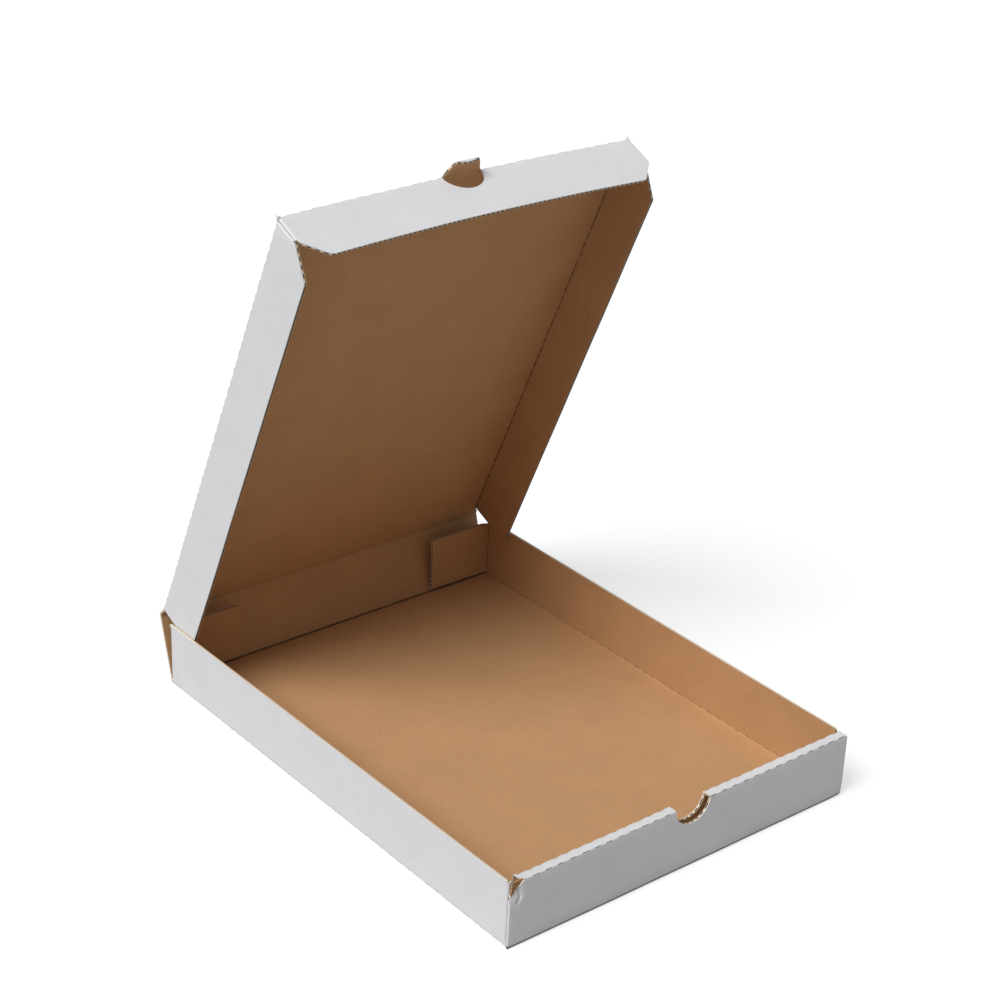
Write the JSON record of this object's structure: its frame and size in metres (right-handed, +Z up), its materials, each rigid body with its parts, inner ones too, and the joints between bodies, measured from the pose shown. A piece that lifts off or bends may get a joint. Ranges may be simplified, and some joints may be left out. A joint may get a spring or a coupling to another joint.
{
  "type": "pizza box",
  "caption": "Open folded corrugated pizza box: shallow tray with a rolled-over front wall and thumb notch, leaning back wall, and a hinged lid with tuck flaps and a lift tongue.",
  "frame": {"origin": "centre of the tray's underside", "axes": "+Z up, -Y towards the front wall with the thumb notch, +X to the right seen from the front"},
  "size_m": [0.24, 0.3315, 0.336],
  "materials": {
    "corrugated_board": "matte white liner outside, brown kraft inside"
  },
  "bodies": {
    "tray": {"tray": "corrugated_board"},
    "back_wall": {"back_wall": "corrugated_board"},
    "lid": {"lid": "corrugated_board"}
  },
  "joints": [
    {"name": "back_wall_hinge", "type": "hinge", "parent": "tray", "child": "back_wall", "pos_m": [0, 0.16, 0], "axis": [-1, 0, 0], "range_deg": [-16, 29]},
    {"name": "lid_hinge", "type": "hinge", "parent": "back_wall", "child": "lid", "pos_m": [0, 0.17155, 0.04028], "axis": [-1, 0, 0], "range_deg": [-50.5, 89]}
  ],
  "couplings": [
    {"joint": "back_wall_hinge", "follows": "lid_hinge", "ratio": 0.31683}
  ]
}
